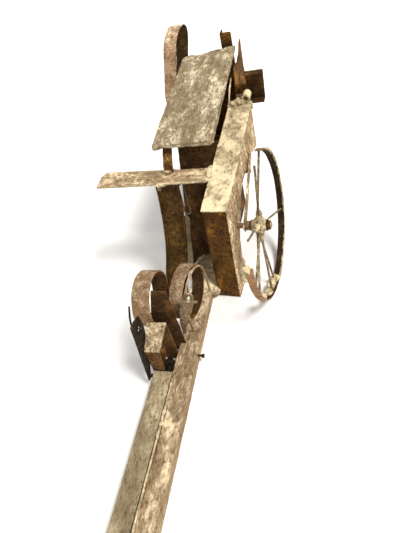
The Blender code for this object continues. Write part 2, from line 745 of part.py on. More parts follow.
def make_rear():
    # tall strap hoop that stands behind the fire box and leans over it
    near = 0.662
    far = 0.790
    radius = (far - near) / 2
    top = 0.655
    centre = ((near + far) / 2, top - radius)
    path = [(near, 0.001), (near, 0.15), (near, 0.30), (near, 0.42), (near, 0.50), (near, 0.55)]
    path += arc(centre, radius, 180, 0, 16)
    path += [(far, 0.55), (far, 0.50), (far, 0.42), (far, 0.30), (far, 0.15), (far, 0.001)]
    builder = ribbon_mesh(path, strap_section(-0.025, 0.025, 0.005))
    for vertex in builder.verts:
        z = vertex.co.z
        turn_away = 0.020 * (vertex.co.y - near) / (far - near)
        lean = turn_away - 0.196 + 0.012 * min(z, 0.42) / 0.42 + 0.232 * max(z - 0.42, 0.0)
        vertex.co.x += lean
    add_object("rear_spit_hoop", builder, CRUST)
    box("rear_hoop_tie", (-0.1535, 0.6660, 0.270), (BOX_LEFT - GAP, 0.6710, 0.300), DARK)

    # angle-iron rear leg
    low_x = 0.048
    low_y = 0.7000
    leg = 0.042
    wall = 0.004
    outline = [(low_x, low_y), (low_x + leg, low_y), (low_x + leg, low_y + wall),
               (low_x + wall, low_y + wall), (low_x + wall, low_y + leg), (low_x, low_y + leg)]
    flat_plate("rear_leg", outline, 0.0, 0.616, RUST)

    # square bracket beside the fire box, its arm and the socket under it
    path = [(0.4680, 0.4450), (0.5030, 0.4450), (0.5030, 0.5430), (0.4720, 0.5430)]
    add_object("rear_bracket", ribbon_mesh(path, strap_section(0.1560, 0.2190, 0.0035)), DARK)
    box("bracket_arm", (0.1170, 0.4950, 0.4700), (0.1555, 0.5000, 0.5050), RUST)
    ring("spit_socket", 0.0085, 0.0140, 0.0400, 20, CRUST, place=(0.1640, 0.4400, 0.4850),
         turn=(0, 0, math.radians(90.0)))


# ---------------------------------------------------------------- wheel


def wheel_basis():
    """Axes of the wheel: X along its axle, Y level and away, Z up the wheel."""
    axle = Vector((math.cos(WHEEL_TOE) * math.cos(WHEEL_CAMBER),
                   math.sin(WHEEL_TOE) * math.cos(WHEEL_CAMBER), math.sin(WHEEL_CAMBER)))
    level = Vector((0, 0, 1)).cross(axle).normalized()
    return Matrix((axle, level, axle.cross(level))).transposed()


def make_wheel():
    basis = wheel_basis()
    turn = basis.to_euler()
    pivot = empty("wheel_pivot", WHEEL_CENTRE, turn)
    half = RIM_WIDTH / 2
    outer = WHEEL_RADIUS
    inner = outer - RIM_THICK
    inside = RIM_OFFSET - half
    outside = RIM_OFFSET + half
    profile = [(inner, inside), (outer, inside), (outer, outside), (inner, outside)]
    add_object("wheel_rim", turned(profile, 56, RIM_FROM, RIM_TO), RUST, parent=pivot)

    bore = AXLE_RADIUS + 0.0006
    hub_half = 0.024
    profile = [(bore, -hub_half), (0.017, -hub_half), (HUB_RADIUS, -0.010), (HUB_RADIUS, 0.010),
               (0.017, hub_half), (bore, hub_half)]
    add_object("wheel_hub", turned(profile, 28), CRUST, parent=pivot)
    # the spokes are welded to a band that is shrunk on the hub
    band = HUB_RADIUS + 0.004
    profile = [(HUB_RADIUS + GAP, -0.009), (band, -0.009), (band, 0.009),
               (HUB_RADIUS + GAP, 0.009)]
    spider = add_object("wheel_spokes", turned(profile, 28), BARE, parent=pivot)
    bars = bmesh.new()
    for number, (degrees, share) in enumerate(SPOKES):
        angle = math.radians(degrees)
        direction = Vector((0, math.cos(angle), math.sin(angle)))
        lean = Vector((0.004 if number % 2 else -0.004, 0, 0))
        start = direction * (HUB_RADIUS + 0.002) + lean
        end = direction * ((inner - 2 * GAP) * share) + lean * 0.5
        end.x += RIM_OFFSET * share
        add_rod(bars, start, end, 0.0036, 8)
    join_shape(spider, bars, "spoke_rods", pivot)

    # stub axle bolted through the casing's right wall, with its washers, collar and nut
    rod("stub_axle", (-0.0930, 0, 0), (0.0400, 0, 0), AXLE_RADIUS, DARK, sides=18, parent=pivot)
    ring("axle_inner_washer", AXLE_RADIUS + 0.0004, 0.018, 0.003, 20, DARK,
         place=(-hub_half - 0.0021, 0, 0), parent=pivot)
    ring("axle_outer_washer", AXLE_RADIUS + 0.0004, 0.018, 0.003, 20, DARK,
         place=(hub_half + 0.0021, 0, 0), parent=pivot)
    ring("axle_collar", AXLE_RADIUS + 0.0004, 0.015, 0.016, 20, RUST,
         place=(-hub_half - 0.0125, 0, 0), parent=pivot)
    nut_start = hub_half + 0.0042
    nut = rod("axle_nut", (nut_start, 0, 0), (nut_start + 0.008, 0, 0), 0.0150, DARK, sides=6,
              parent=pivot)
    cut(nut, rod_cutter((0, 0, 0), (0.08, 0, 0), AXLE_RADIUS + 0.0005), "axle_nut_bore", pivot)
    return basis


def make_axle_brace(basis):
    """A flat stay from the casing's rear arm down to the stub axle."""
    axle = Vector(basis.col[0])
    eye = WHEEL_CENTRE - axle * 0.0500
    head = Vector((0.1740, 0.300, 0.345))
    along = (head - eye).normalized()
    across = axle.cross(along).normalized()
    thick = axle * 0.004
    builder = bmesh.new()
    outline = [eye - along * 0.016 - across * 0.014, eye - along * 0.016 + across * 0.014,
               head + across * 0.008, head - across * 0.008]
    add_prism(builder, outline, (0, 0, 0), thick)
    brace = add_object("axle_brace", builder, CRUST)
    cut(brace, rod_cutter(eye - axle * 0.03, eye + axle * 0.03, AXLE_RADIUS + 0.0006), "brace_bore")


def main():
    make_beam()
    make_tent_bracket()
    make_eye_plate()
    make_beam_hoops()
    make_clamp()
    make_cross_bar()
    casing = empty("casing_frame", CASING_PLACE, (0, 0, CASING_TURN))
    right_wall = make_casing(casing)
    make_fire_box()
    make_lid()
    make_rear()
    basis = make_wheel()
    make_axle_brace(basis)
    axle = Vector(basis.col[0])
    start = WHEEL_CENTRE - axle * 0.12
    end = WHEEL_CENTRE - axle * 0.05
    cut(right_wall, rod_cutter(start, end, AXLE_RADIUS + 0.0006), "wall_bore")


main()
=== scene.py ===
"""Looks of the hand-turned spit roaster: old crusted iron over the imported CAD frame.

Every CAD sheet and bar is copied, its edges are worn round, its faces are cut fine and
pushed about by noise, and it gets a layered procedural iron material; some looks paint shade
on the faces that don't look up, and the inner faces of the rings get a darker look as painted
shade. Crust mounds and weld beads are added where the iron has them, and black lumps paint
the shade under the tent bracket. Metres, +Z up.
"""
import json
import math

import bmesh
import bpy
from mathutils import Matrix, Vector, noise

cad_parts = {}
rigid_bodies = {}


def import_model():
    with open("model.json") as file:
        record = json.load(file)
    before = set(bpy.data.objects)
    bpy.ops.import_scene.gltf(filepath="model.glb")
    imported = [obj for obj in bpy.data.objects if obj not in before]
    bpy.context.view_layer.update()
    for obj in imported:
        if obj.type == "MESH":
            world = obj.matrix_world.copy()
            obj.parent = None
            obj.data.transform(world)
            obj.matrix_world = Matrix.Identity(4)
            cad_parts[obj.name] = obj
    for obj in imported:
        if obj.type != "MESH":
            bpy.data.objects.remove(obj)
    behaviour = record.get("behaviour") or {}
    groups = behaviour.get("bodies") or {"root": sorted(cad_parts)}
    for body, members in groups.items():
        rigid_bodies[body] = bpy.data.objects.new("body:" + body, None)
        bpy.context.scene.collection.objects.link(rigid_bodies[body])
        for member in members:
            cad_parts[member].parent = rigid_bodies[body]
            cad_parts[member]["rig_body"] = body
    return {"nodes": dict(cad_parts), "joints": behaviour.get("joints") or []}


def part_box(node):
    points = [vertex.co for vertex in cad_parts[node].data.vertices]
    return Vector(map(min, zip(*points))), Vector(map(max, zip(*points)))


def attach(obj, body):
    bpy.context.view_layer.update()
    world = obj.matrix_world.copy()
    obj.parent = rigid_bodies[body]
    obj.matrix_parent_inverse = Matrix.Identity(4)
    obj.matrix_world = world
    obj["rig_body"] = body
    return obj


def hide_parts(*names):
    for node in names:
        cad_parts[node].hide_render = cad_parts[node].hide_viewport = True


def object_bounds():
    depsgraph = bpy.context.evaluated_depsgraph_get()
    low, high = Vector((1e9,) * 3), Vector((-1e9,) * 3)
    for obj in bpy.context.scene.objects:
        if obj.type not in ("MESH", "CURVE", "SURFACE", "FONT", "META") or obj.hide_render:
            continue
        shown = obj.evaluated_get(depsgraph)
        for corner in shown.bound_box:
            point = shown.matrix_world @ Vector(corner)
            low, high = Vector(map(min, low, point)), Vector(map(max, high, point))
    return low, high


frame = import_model()
CAD_LOW, CAD_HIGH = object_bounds()
NODES = frame["nodes"]
JOINTS = {joint["name"]: joint for joint in frame["joints"]}

# ---------------------------------------------------------------- camera

CAMERA_AT = (0.430, -1.026, 1.152)
CAMERA_FORWARD = (-0.279, 0.669, -0.688)
CAMERA_RIGHT = (0.960, 0.191, -0.204)
SENSOR_WIDTH = 36.0
LENS = 29.72


def make_camera():
    data = bpy.data.cameras.new("camera")
    item = bpy.data.objects.new("camera", data)
    bpy.context.scene.collection.objects.link(item)
    forward = Vector(CAMERA_FORWARD).normalized()
    right = Vector(CAMERA_RIGHT)
    right = (right - forward * right.dot(forward)).normalized()
    turn = Matrix((right, right.cross(forward), -forward)).transposed()
    item.matrix_world = Matrix.Translation(CAMERA_AT) @ turn.to_4x4()
    data.sensor_width = SENSOR_WIDTH
    data.lens = LENS
    bpy.context.scene.camera = item


make_camera()

# ---------------------------------------------------------------- iron materials

# white: no painted shade on the sides
NO_SIDE_SHADE = (1.0, 1.0, 1.0)
LIGHT_GRAIN = (1.12, 1.12, 1.12)         # how much the grain lightens outside its pits
LIGHT_WASH = (1.20, 1.18, 1.15)          # how much the broad patches lighten
PATCH_SCALE = 18.0                       # noise scales, in features per metre
MOTTLE_SCALE = 82.0
GRAIN_SCALE = 210.0
STAIN_SCALE = 20.0
PIT_SCALE = 130.0
SKIN_BAND = (0.40, 0.58)                 # noise heights over which one layer becomes the next
UP_BAND = (0.0, 0.75)
SUNK_BAND = (0.36, 0.50)
WASH_BAND = (0.42, 0.57)
CRUST_MIDDLE = 0.56                      # where crust begins on a look that is half crust
CRUST_SWING = 0.24                       # how far the share of crust moves that point
RUST_MIDDLE = 0.50
RUST_SWING = 0.36
UP_CRUST = 0.06                          # the lead an upward face has in gathering crust
ROUGH_LOW = 0.55
ROUGH_HIGH = 0.95
GLOSS = 0.12


def mix_colour(tree, factor, first, second, blend="MIX"):
    """Mixes two colours; each of the three inputs is a socket, a number or a colour."""
    node = tree.nodes.new("ShaderNodeMix")
    node.data_type = "RGBA"
    node.blend_type = blend
    for socket, value in ((0, factor), (6, first), (7, second)):
        if isinstance(value, bpy.types.NodeSocket):
            tree.links.new(value, node.inputs[socket])
        elif isinstance(value, tuple):
            node.inputs[socket].default_value = (*value, 1.0)
        else:
            node.inputs[socket].default_value = value
    return node.outputs[2]


def sum_of(tree, *terms):
    """Adds sockets, each times its own weight."""
    total = None
    for socket, weight in terms:
        node = tree.nodes.new("ShaderNodeMath")
        node.operation = "MULTIPLY_ADD"
        tree.links.new(socket, node.inputs[0])
        node.inputs[1].default_value = weight
        if total is None:
            node.inputs[2].default_value = 0.0
        else:
            tree.links.new(total, node.inputs[2])
        total = node.outputs[0]
    return total


def step_up(tree, socket, low, high):
    """0 below low, 1 above high, smooth between."""
    node = tree.nodes.new("ShaderNodeMapRange")
    node.interpolation_type = "SMOOTHSTEP"
    tree.links.new(socket, node.inputs[0])
    node.inputs["From Min"].default_value = low
    node.inputs["From Max"].default_value = high
    return node.outputs[0]


def iron(name, crust, skin, deep, rust, crust_share, rust_share, painted_side_shade=NO_SIDE_SHADE,
         metallic=0.0, stretch=(1, 1, 1), turn=0.0, swirl=1.0, pit=(0.38, 0.30, 0.22),
         cloudy=(0.72, 0.68, 0.62), relief=0.0030):
    """Layered old iron: a skin mottled towards deep, patches of crust and patches of rust. Where
    a side shade is given, faces that don't look up are darkened by it as painted shade.
    """
    made = bpy.data.materials.new(name)
    made.use_nodes = True
    tree = made.node_tree
    shader = tree.nodes["Principled BSDF"]
    where = tree.nodes.new("ShaderNodeTexCoord")
    place = tree.nodes.new("ShaderNodeMapping")
    place.inputs["Scale"].default_value = stretch
    place.inputs["Rotation"].default_value[2] = math.radians(turn)
    tree.links.new(where.outputs["Object"], place.inputs[0])

    def cloud(scale, detail, rough=0.55, bend=0.0, shift=0.0):
        node = tree.nodes.new("ShaderNodeTexNoise")
        node.noise_dimensions = "4D"
        tree.links.new(place.outputs[0], node.inputs["Vector"])
        node.inputs["W"].default_value = shift
        node.inputs["Scale"].default_value = scale
        node.inputs["Detail"].default_value = detail
        node.inputs["Roughness"].default_value = rough
        node.inputs["Distortion"].default_value = bend
        return node.outputs["Fac"]

    patch = cloud(PATCH_SCALE, 5.0, bend=0.6)
    mottle = cloud(MOTTLE_SCALE, 6.0, rough=0.7, bend=swirl, shift=3.0)
    grain = cloud(GRAIN_SCALE, 4.0, rough=0.8, shift=7.0)
    stain = cloud(STAIN_SCALE, 6.0, rough=0.65, bend=0.4, shift=11.0)
    pits = tree.nodes.new("ShaderNodeTexVoronoi")
    pits.inputs["Scale"].default_value = PIT_SCALE
    tree.links.new(place.outputs[0], pits.inputs["Vector"])
    facing = tree.nodes.new("ShaderNodeNewGeometry")
    split = tree.nodes.new("ShaderNodeSeparateXYZ")
    tree.links.new(facing.outputs["Normal"], split.inputs[0])
    raised = tree.nodes.new("ShaderNodeAttribute")
    raised.attribute_name = "raised"

    fine = sum_of(tree, (mottle, 0.5), (grain, 0.5))
    body = mix_colour(tree, step_up(tree, fine, *SKIN_BAND), deep, skin)
    up = step_up(tree, split.outputs["Z"], *UP_BAND)
    height = sum_of(tree, (patch, 0.28), (mottle, 0.40), (grain, 0.32),
                    (up, UP_CRUST), (raised.outputs["Fac"], 0.12))
    middle = CRUST_MIDDLE + UP_CRUST + (0.5 - crust_share) * CRUST_SWING
    crusted = step_up(tree, height, middle - 0.055, middle + 0.065)
    body = mix_colour(tree, crusted, body, crust)
    red = RUST_MIDDLE + (0.5 - rust_share) * RUST_SWING
    rusted = step_up(tree, sum_of(tree, (stain, 0.65), (grain, 0.35)), red - 0.045, red + 0.06)
    body = mix_colour(tree, rusted, body, rust)
    sunk = step_up(tree, sum_of(tree, (grain, 0.7), (mottle, 0.3)), *SUNK_BAND)
    shade = mix_colour(tree, sunk, pit, LIGHT_GRAIN)
    body = mix_colour(tree, 1.0, body, shade, "MULTIPLY")
    broad = step_up(tree, sum_of(tree, (patch, 0.7), (stain, 0.3)), *WASH_BAND)
    wash = mix_colour(tree, broad, cloudy, LIGHT_WASH)
    body = mix_colour(tree, 1.0, body, wash, "MULTIPLY")
    # painted shade: faces that look sideways or down are multiplied by the side shade colour,
    # upward faces keep their colour
    if painted_side_shade != NO_SIDE_SHADE:
        side_shade = mix_colour(tree, up, painted_side_shade, NO_SIDE_SHADE)
        body = mix_colour(tree, 1.0, body, side_shade, "MULTIPLY")
    tree.links.new(body, shader.inputs["Base Color"])

    rough = tree.nodes.new("ShaderNodeMapRange")
    tree.links.new(mottle, rough.inputs[0])
    rough.inputs["To Min"].default_value = ROUGH_LOW
    rough.inputs["To Max"].default_value = ROUGH_HIGH
    tree.links.new(rough.outputs[0], shader.inputs["Roughness"])
    shader.inputs["Metallic"].default_value = metallic
    shader.inputs["Specular IOR Level"].default_value = GLOSS

    lift = tree.nodes.new("ShaderNodeBump")
    lift.inputs["Strength"].default_value = 1.0
    lift.inputs["Distance"].default_value = relief
    relief_height = sum_of(tree, (crusted, 0.6), (mottle, 1.6), (grain, 0.9),
                           (pits.outputs["Distance"], 0.3))
    tree.links.new(relief_height, lift.inputs["Height"])
    tree.links.new(lift.outputs[0], shader.inputs["Normal"])
    return made


LOOKS = {
    "roof": iron("iron_cream_crust", (0.66, 0.56, 0.37), (0.53, 0.43, 0.27), (0.38, 0.28, 0.16),
                 (0.46, 0.32, 0.17), crust_share=0.72, rust_share=0.10, pit=(0.74, 0.64, 0.50),
                 cloudy=(0.80, 0.77, 0.72)),
    "side": iron("iron_streaked_side", (0.90, 0.75, 0.51), (0.58, 0.43, 0.26),
                 (0.19, 0.11, 0.045), (0.44, 0.25, 0.12), crust_share=0.52, rust_share=0.24,
                 stretch=(1, 1, 0.45)),
    "rail": iron("iron_tan_rail", (0.60, 0.49, 0.33), (0.42, 0.31, 0.195),
                 (0.22, 0.145, 0.08), (0.42, 0.26, 0.17), crust_share=0.40, rust_share=0.26,
                 stretch=(1, 0.4, 1), pit=(0.62, 0.52, 0.42)),
    "bar": iron("iron_bar_crust", (0.70, 0.56, 0.37), (0.46, 0.33, 0.20), (0.22, 0.145, 0.075),
                (0.50, 0.30, 0.20), crust_share=0.42, rust_share=0.30, stretch=(0.5, 1, 1)),
    "grey": iron("iron_rubbed_grey", (0.40, 0.335, 0.225), (0.29, 0.24, 0.158),
                 (0.22, 0.175, 0.105), (0.27, 0.19, 0.11), crust_share=0.26, rust_share=0.12,
                 metallic=0.1, stretch=(1, 0.45, 1), relief=0.0012),
    "lid": iron("iron_hammered_lid", (0.88, 0.78, 0.57), (0.50, 0.415, 0.275),
                (0.26, 0.195, 0.115), (0.24, 0.155, 0.085), crust_share=0.34, rust_share=0.30,
                metallic=0.1, swirl=1.2, stretch=(1, 0.45, 1), turn=35.0,
                pit=(0.60, 0.52, 0.42), relief=0.0060),
    # this look also paints the shade on the inner faces of the spit hoops
    "dark": iron("iron_dark_rust_and_shade", (0.30, 0.19, 0.080), (0.085, 0.042, 0.012),
                 (0.026, 0.012, 0.003), (0.20, 0.085, 0.016), crust_share=0.16,
                 rust_share=0.28, relief=0.0036),
    "rusty": iron("iron_orange_rust", (0.44, 0.27, 0.10), (0.14, 0.064, 0.013),
                  (0.035, 0.015, 0.003), (0.26, 0.115, 0.016), crust_share=0.20,
                  rust_share=0.38, relief=0.0040),
    # this look also paints the shade on the inner face of the rear hoop
    "leg": iron("iron_speckled_leg", (0.36, 0.22, 0.08), (0.095, 0.050, 0.012),
                (0.025, 0.012, 0.003), (0.17, 0.085, 0.014), crust_share=0.16,
                rust_share=0.30, relief=0.0036),
    # only the inner face of the wheel rim wears this look: painted shade
    "rim": iron("iron_rim_inner_shade", (0.42, 0.30, 0.19), (0.050, 0.032, 0.018),
                (0.015, 0.010, 0.006), (0.13, 0.065, 0.025), crust_share=0.10,
                rust_share=0.22),
    # the strap's sides get a faint painted shade
    "hoop": iron("iron_pinkish_strap", (0.54, 0.41, 0.27), (0.37, 0.25, 0.155),
                 (0.20, 0.12, 0.065), (0.33, 0.17, 0.08), crust_share=0.36, rust_share=0.26,
                 painted_side_shade=(0.95, 0.86, 0.76), pit=(0.66, 0.56, 0.46)),
    "strap": iron("iron_rear_strap", (0.86, 0.68, 0.50), (0.62, 0.43, 0.29),
                  (0.32, 0.19, 0.10), (0.46, 0.22, 0.10), crust_share=0.42, rust_share=0.24),
    # the bracket's sides get a strong painted shade
    "tent": iron("iron_tent_crust", (0.74, 0.60, 0.41), (0.48, 0.38, 0.25), (0.22, 0.15, 0.08),
                 (0.34, 0.18, 0.08), crust_share=0.46, rust_share=0.20, pit=(0.62, 0.53, 0.43),
                 painted_side_shade=(0.42, 0.29, 0.16)),
    # this look also paints the shade of the lumps under the tent bracket
    "black": iron("iron_black_scale_and_shade", (0.20, 0.15, 0.10), (0.035, 0.026, 0.018),
                  (0.010, 0.008, 0.006), (0.10, 0.048, 0.020), crust_share=0.20,
                  rust_share=0.18),
    "pale": iron("iron_pale_oxide", (0.76, 0.76, 0.60), (0.52, 0.50, 0.36), (0.25, 0.21, 0.12),
                 (0.40, 0.30, 0.16), crust_share=0.5, rust_share=0.15),
    "rod": iron("iron_olive_rod", (0.56, 0.47, 0.32), (0.27, 0.215, 0.13), (0.08, 0.06, 0.032),
                (0.30, 0.16, 0.07), crust_share=0.36, rust_share=0.22),
}

# ---------------------------------------------------------------- worn copies of CAD nodes

LUMP_SIZE = 0.016                # feature sizes of the noise that moves a surface
CRUMB_SIZE = 0.007
WAVE_SIZE = 0.11
SAME_PLACE = 1e-5
FLAT_ANGLE = math.radians(1.0)
SHARP_ANGLE = math.radians(40.0)


def push(point, seed, size):
    """Signed noise from -1 to 1 with features of about that size in metres."""
    return noise.noise(Vector(point) / size + Vector((seed, seed * 1.7, seed * 0.3)))


def cut_fine(mesh, step):
    """Cuts every face along planes a step apart on each axis."""
    points = [vertex.co for vertex in mesh.verts]
    for axis in range(3):
        low = min(point[axis] for point in points)
        high = max(point[axis] for point in points)
        count = int((high - low) / step)
        normal = Vector((0, 0, 0))
        normal[axis] = 1.0
        for index in range(1, count + 1):
            place = Vector((0, 0, 0))
            place[axis] = low + (high - low) * index / (count + 1)
            bmesh.ops.bisect_plane(mesh, geom=mesh.verts[:] + mesh.edges[:] + mesh.faces[:],
                                   plane_co=place, plane_no=normal, dist=SAME_PLACE)


def roughen(mesh, seed, lump, wave, shape=None):
    """Pushes a mesh about: wave bends it as a whole and lump raises crust on its skin."""
    layer = mesh.verts.layers.float.new("raised")
    mesh.normal_update()
    moves = []
    for vertex in mesh.verts:
        place = vertex.co
        height = max(push(place, seed, LUMP_SIZE), 0.0) + 0.5 * push(place, seed + 5, CRUMB_SIZE)
        bend = Vector([push(place, seed + axis, WAVE_SIZE) for axis in (1, 2, 3)])
        move = vertex.normal * height * lump + bend * wave
        if shape is not None:
            move += shape(place)
        vertex[layer] = max(0.0, min(1.0, 0.5 + height))
        moves.append(move)
    for vertex, move in zip(mesh.verts, moves):
        vertex.co += move


def finish_piece(name, mesh, look, body, inside_shade=None):
    """Makes the named object from a finished mesh, gives it its materials and puts it on its
    body.
    """
    data = bpy.data.meshes.new(name)
    mesh.to_mesh(data)
    mesh.free()
    data.shade_smooth()
    data.materials.append(LOOKS[look])
    # the second material is painted shade for the inner faces of a ring
    if inside_shade:
        data.materials.append(LOOKS[inside_shade])
    item = bpy.data.objects.new(name, data)
    bpy.context.scene.collection.objects.link(item)
    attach(item, body)
    return item


def mark_shaded_inside(mesh, centre):
    """Gives the faces that look towards the middle of a ring the second material, a darker look
    that paints the shade within the ring.
    """
    for face in mesh.faces:
        if face.normal.dot(centre - face.calc_center_median()) > 0.0:
            face.material_index = 1


def worn(node, look, step=0.007, wear=0.0010, lump=0.0010, wave=0.0010, shape=None, inside_shade=None):
    """A worn, crusted copy of a CAD node that stands for it."""
    source = NODES[node]
    mesh = bmesh.new()
    mesh.from_mesh(source.data)
    bmesh.ops.remove_doubles(mesh, verts=mesh.verts, dist=SAME_PLACE)
    bmesh.ops.dissolve_limit(mesh, angle_limit=FLAT_ANGLE, verts=mesh.verts, edges=mesh.edges)
    sharp = [edge for edge in mesh.edges
             if len(edge.link_faces) == 2 and edge.calc_face_angle(0.0) > SHARP_ANGLE]
    bmesh.ops.bevel(mesh, geom=sharp, offset=wear, segments=2, profile=0.55, affect="EDGES",
                    clamp_overlap=True)
    cut_fine(mesh, step)
    roughen(mesh, len(node) * 3.1 + ord(node[0]), lump, wave, shape)
    # the inner faces of a ring get the darker look as painted shade
    if inside_shade:
        low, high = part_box(node)
        mark_shaded_inside(mesh, (low + high) / 2)
    item = finish_piece(node + "_worn", mesh, look, source["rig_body"], inside_shade)
    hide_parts(node)


DENT_SLANT = 0.35                # the dents run aslant and are longer than they are wide
DENT_SQUEEZE = 0.45
DENT_DEPTH = 0.0062
DENT_SIZE = 0.048
WRINKLE_DEPTH = 0.0026
WRINKLE_SIZE = 0.018


def lid_dents(place):
    """Hammer dents and long wrinkles, the same on both faces of the lid."""
    slanted = Vector((place.x + DENT_SLANT * place.y, place.y * DENT_SQUEEZE, 0.0))
    return Vector((0, 0, DENT_DEPTH * push(slanted, 31.0, DENT_SIZE)
                   + WRINKLE_DEPTH * push(slanted, 37.0, WRINKLE_SIZE)))


WORN = {
    "rail_right": dict(look="rail", lump=0.0016, wave=0.0012),
    "rail_left": dict(look="grey", lump=0.0005),
    "rail_peg": dict(look="dark", step=0.003, wear=0.0005, lump=0.0006),
    "tent_bracket": dict(look="tent", lump=0.0012, step=0.005),
    "roller_lug": dict(look="rusty", step=0.005),
    "roller": dict(look="rusty", step=0.004, wear=0.0008, lump=0.0012),
    "eye_plate": dict(look="black", step=0.006, lump=0.0007),
    "hook": dict(look="black", step=0.006, wear=0.0003, lump=0.0005, wave=0.0004),
    "guide_post": dict(look="dark", lump=0.0010),
    # the inner faces of the hoops and of the wheel rim take a darker look: painted shade
    "left_spit_hoop": dict(look="hoop", inside_shade="dark", lump=0.0012, wave=0.0016),
    "right_spit_hoop": dict(look="hoop", inside_shade="dark", lump=0.0012, wave=0.0016),
    "hoop_stay": dict(look="rail", step=0.005, lump=0.0012, wave=0.0012),
    "clamp_tongue": dict(look="rail", step=0.005, lump=0.0004, wave=0.0),
    "clamp_screw": dict(look="pale", step=0.004, wear=0.0004, lump=0.0003, wave=0.0),
    "clamp_handle": dict(look="rod", step=0.004, wear=0.0006, lump=0.0009),
    "cross_bar": dict(look="bar", lump=0.0014, wave=0.0012),
    "bowed_leg": dict(look="leg", lump=0.0011, wave=0.0010),
    "stay_strap": dict(look="grey", lump=0.0010, wave=0.0012),
    "link_staple": dict(look="dark", step=0.004, wear=0.0003, lump=0.0005),
    "chain_link": dict(look="grey", step=0.004, wear=0.0003, lump=0.0007),
    "lid_support": dict(look="rusty", step=0.006),
    "casing_roof": dict(look="roof", lump=0.0018, wave=0.0016),
    "casing_left_wall": dict(look="dark", step=0.009),
    "casing_right_wall": dict(look="side", lump=0.0014, wave=0.0016),
    "casing_front_baffle": dict(look="rusty", lump=0.0012, wave=0.0010),
    "fire_box_front": dict(look="dark", lump=0.0014, wave=0.0012),
    "fire_box_left": dict(look="dark", step=0.009),
    "fire_box_right": dict(look="rusty", lump=0.0012, wave=0.0014),
    "fire_box_rear": dict(look="rusty", step=0.010),
    "fire_box_floor": dict(look="dark", step=0.012),
    "fire_grate": dict(look="dark", step=0.010),
    "hinge_rail": dict(look="dark", step=0.008),
    "lid_plate": dict(look="lid", step=0.006, lump=0.0014, wave=0.0010, shape=lid_dents),
    # its inner faces take the leg look as painted shade
    "rear_spit_hoop": dict(look="strap", inside_shade="leg", lump=0.0012, wave=0.0014),
    "rear_hoop_tie": dict(look="dark"),
    "rear_leg": dict(look="rusty", step=0.009),
    "rear_bracket": dict(look="dark", step=0.006, lump=0.0012),
    "bracket_arm": dict(look="rusty", step=0.005),
    "spit_socket": dict(look="roof", step=0.004, lump=0.0020),
    # its inner faces take the rim look as painted shade
    "wheel_rim": dict(look="hoop", inside_shade="rim", step=0.006, lump=0.0012, wave=0.0012),
    "wheel_hub": dict(look="roof", step=0.004, lump=0.0022),
    "wheel_spokes": dict(look="rod", step=0.006, wear=0.0004, lump=0.0008, wave=0.0012),
    "stub_axle": dict(look="hoop", step=0.005, lump=0.0008, wave=0.0003),
    "axle_collar": dict(look="hoop", step=0.004, lump=0.0010, wave=0.0003),
    "axle_nut": dict(look="dark", step=0.003, lump=0.0008, wave=0.0003),
    "axle_brace": dict(look="side", step=0.005, lump=0.0010),
}
for node, settings in WORN.items():
    worn(node, **settings)

# small nodes that keep their CAD shape and only get a material
PLAIN = {
    "roller_pin": "rusty", "roller_washer": "rusty", "eye_plate_spacer": "dark",
    "hoop_cleat": "dark", "clamp_nut": "dark", "grate_ledge": "dark",
    "frame_hinge_left": "dark", "frame_hinge_right": "dark", "lid_hinge_left": "dark",
    "lid_hinge_right": "dark", "lid_hinge_pin": "dark", "axle_inner_washer": "dark",
    "axle_outer_washer": "dark",
}
for node, look in PLAIN.items():
    NODES[node].data.materials.clear()
    NODES[node].data.materials.append(LOOKS[look])

# ---------------------------------------------------------------- crust mounds and beads, and black lumps of painted shade

CRUST_ROUGH = 0.35               # how far crust swells and shrinks, as a share of its radius
BLOB_DETAIL = 4
BEAD_SIDES = 10
BEAD_STEP = 0.8                  # spacing of a bead's rings, as a share of its radius


def blob(mesh, centre, radii, seed):
    """Adds one rough lump to a mesh under construction."""
    made = bmesh.ops.create_icosphere(mesh, subdivisions=BLOB_DETAIL, radius=1.0)
    size = max(radii)
    for vertex in made["verts"]:
        way = vertex.co.normalized()
        place = way * Vector(radii)
        swell = 1.0 + CRUST_ROUGH * (push(place, seed, size * 0.55)
                                     + 0.6 * push(place, seed, size * 0.2)
                                     + 0.3 * push(place, seed, size * 0.08))
        vertex.co = Vector(centre) + place * swell


def bead(mesh, path, radius, seed):
    """Adds a rough run of crust along a path, thicker and thinner as it goes."""
    points = []
    for start, end in zip(path, path[1:]):
        start = Vector(start)
        end = Vector(end)
        count = max(int((end - start).length / (radius * BEAD_STEP)), 1)
        points += [start.lerp(end, index / count) for index in range(count)]
    points.append(Vector(path[-1]))
    loops = []
    for index, point in enumerate(points):
        before = points[max(index - 1, 0)]
        after = points[min(index + 1, len(points) - 1)]
        along = (after - before).normalized()
        side = along.orthogonal().normalized()
        over = along.cross(side)
        taper = min(1.0, 0.45 + 0.3 * min(index, len(points) - 1 - index))
        loop = []
        for step in range(BEAD_SIDES):
            angle = 2 * math.pi * step / BEAD_SIDES
            way = side * math.cos(angle) + over * math.sin(angle)
            swell = 1.0 + CRUST_ROUGH * (push(point, seed, radius * 4)
                                         + push(point + way * radius, seed, radius * 1.3))
            loop.append(mesh.verts.new(point + way * radius * swell * taper))
        loops.append(loop)
    for near, far in zip(loops, loops[1:]):
        for step in range(BEAD_SIDES):
            other = (step + 1) % BEAD_SIDES
            mesh.faces.new((near[step], near[other], far[other], far[step]))
    mesh.faces.new(list(reversed(loops[0])))
    mesh.faces.new(loops[-1])


